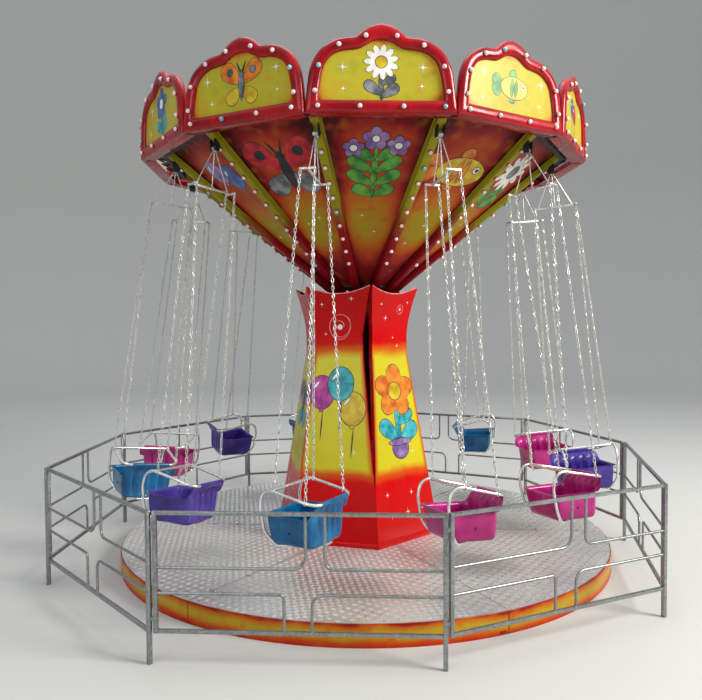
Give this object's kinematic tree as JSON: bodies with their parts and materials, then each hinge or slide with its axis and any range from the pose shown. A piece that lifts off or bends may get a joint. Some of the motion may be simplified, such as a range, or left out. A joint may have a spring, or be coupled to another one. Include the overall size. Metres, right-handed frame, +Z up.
{
  "type": "chair swing ride",
  "caption": "Chair swing ride for small children: chain-hung bucket seats under a turning canopy with an arched crown, on a round deck in a low tube fence.",
  "frame": {"origin": "on the ground, on the axis that the canopy turns about", "axes": "+Z up, the side seen in the picture faces -Y, +X to its right"},
  "size_m": [5.3728, 5.4427, 4.328],
  "materials": {
    "dark_steel": "satin",
    "tread_plate": "worn, raised tread pattern",
    "painted_skirt": "gloss, airbrushed",
    "yellow_steel": "gloss",
    "painted_panels": "gloss, airbrushed",
    "red_mouldings": "gloss, airbrushed",
    "galvanised_tube": "galvanised",
    "seat_cyan": "moulded, satin",
    "seat_purple": "moulded, satin",
    "seat_pink": "moulded, satin"
  },
  "bodies": {
    "base": {"base_frame": "dark_steel", "deck_plate": "tread_plate", "deck_skirt": "painted_skirt", "tower_column": "dark_steel", "tower_panel_1": "red_mouldings", "tower_panel_2": "red_mouldings", "tower_panel_3": "red_mouldings", "tower_panel_4": "red_mouldings", "tower_panel_5": "red_mouldings", "tower_panel_6": "red_mouldings", "fence_panel_1": "galvanised_tube", "fence_panel_2": "galvanised_tube", "fence_panel_3": "galvanised_tube", "fence_panel_4": "galvanised_tube", "fence_panel_5": "galvanised_tube", "fence_panel_6": "galvanised_tube", "fence_panel_7": "galvanised_tube", "fence_panel_8": "galvanised_tube", "fence_panel_9": "galvanised_tube"},
    "head": {"arm_frame": "yellow_steel", "underside_skin": "painted_panels", "crown_boards": "red_mouldings"},
    "seat_01": {"seat_01_hanger": "galvanised_tube", "seat_01_shell": "seat_pink"},
    "seat_02": {"seat_02_hanger": "galvanised_tube", "seat_02_shell": "seat_pink"},
    "seat_03": {"seat_03_hanger": "galvanised_tube", "seat_03_shell": "seat_purple"},
    "seat_04": {"seat_04_hanger": "galvanised_tube", "seat_04_shell": "seat_pink"},
    "seat_05": {"seat_05_hanger": "galvanised_tube", "seat_05_shell": "seat_cyan"},
    "seat_06": {"seat_06_hanger": "galvanised_tube", "seat_06_shell": "seat_purple"},
    "seat_07": {"seat_07_hanger": "galvanised_tube", "seat_07_shell": "seat_cyan"},
    "seat_08": {"seat_08_hanger": "galvanised_tube", "seat_08_shell": "seat_purple"},
    "seat_09": {"seat_09_hanger": "galvanised_tube", "seat_09_shell": "seat_pink"},
    "seat_10": {"seat_10_hanger": "galvanised_tube", "seat_10_shell": "seat_cyan"},
    "seat_11": {"seat_11_hanger": "galvanised_tube", "seat_11_shell": "seat_purple"},
    "seat_12": {"seat_12_hanger": "galvanised_tube", "seat_12_shell": "seat_cyan"}
  },
  "joints": [
    {"name": "head_spin", "type": "hinge", "parent": "base", "child": "head", "pos_m": [0, 0, 2.6], "axis": [0, 0, 1], "continuous": true},
    {"name": "seat_01_swing", "type": "hinge", "parent": "head", "child": "seat_01", "pos_m": [0.5838, -1.70904, 3.63], "axis": [-0.9463, -0.3233, 0], "range_deg": [-14, 1]},
    {"name": "seat_02_swing", "type": "hinge", "parent": "head", "child": "seat_02", "pos_m": [1.36011, -1.18817, 3.63], "axis": [-0.6579, -0.7531, 0], "range_deg": [-14, 1]},
    {"name": "seat_03_swing", "type": "hinge", "parent": "head", "child": "seat_03", "pos_m": [1.77197, -0.34893, 3.63], "axis": [-0.1932, -0.9812, 0], "range_deg": [-14, 1]},
    {"name": "seat_04_swing", "type": "hinge", "parent": "head", "child": "seat_04", "pos_m": [1.70904, 0.5838, 3.63], "axis": [0.3233, -0.9463, 0], "range_deg": [-14, 1]},
    {"name": "seat_05_swing", "type": "hinge", "parent": "head", "child": "seat_05", "pos_m": [1.18817, 1.36011, 3.63], "axis": [0.7531, -0.6579, 0], "range_deg": [-14, 1]},
    {"name": "seat_06_swing", "type": "hinge", "parent": "head", "child": "seat_06", "pos_m": [0.34893, 1.77197, 3.63], "axis": [0.9812, -0.1932, 0], "range_deg": [-14, 1]},
    {"name": "seat_07_swing", "type": "hinge", "parent": "head", "child": "seat_07", "pos_m": [-0.5838, 1.70904, 3.63], "axis": [0.9463, 0.3233, 0], "range_deg": [-14, 1]},
    {"name": "seat_08_swing", "type": "hinge", "parent": "head", "child": "seat_08", "pos_m": [-1.36011, 1.18817, 3.63], "axis": [0.6579, 0.7531, 0], "range_deg": [-14, 1]},
    {"name": "seat_09_swing", "type": "hinge", "parent": "head", "child": "seat_09", "pos_m": [-1.77197, 0.34893, 3.63], "axis": [0.1932, 0.9812, 0], "range_deg": [-14, 1]},
    {"name": "seat_10_swing", "type": "hinge", "parent": "head", "child": "seat_10", "pos_m": [-1.70904, -0.5838, 3.63], "axis": [-0.3233, 0.9463, 0], "range_deg": [-14, 1]},
    {"name": "seat_11_swing", "type": "hinge", "parent": "head", "child": "seat_11", "pos_m": [-1.18817, -1.36011, 3.63], "axis": [-0.7531, 0.6579, 0], "range_deg": [-14, 1]},
    {"name": "seat_12_swing", "type": "hinge", "parent": "head", "child": "seat_12", "pos_m": [-0.34893, -1.77197, 3.63], "axis": [-0.9812, 0.1932, 0], "range_deg": [-14, 1]}
  ]
}
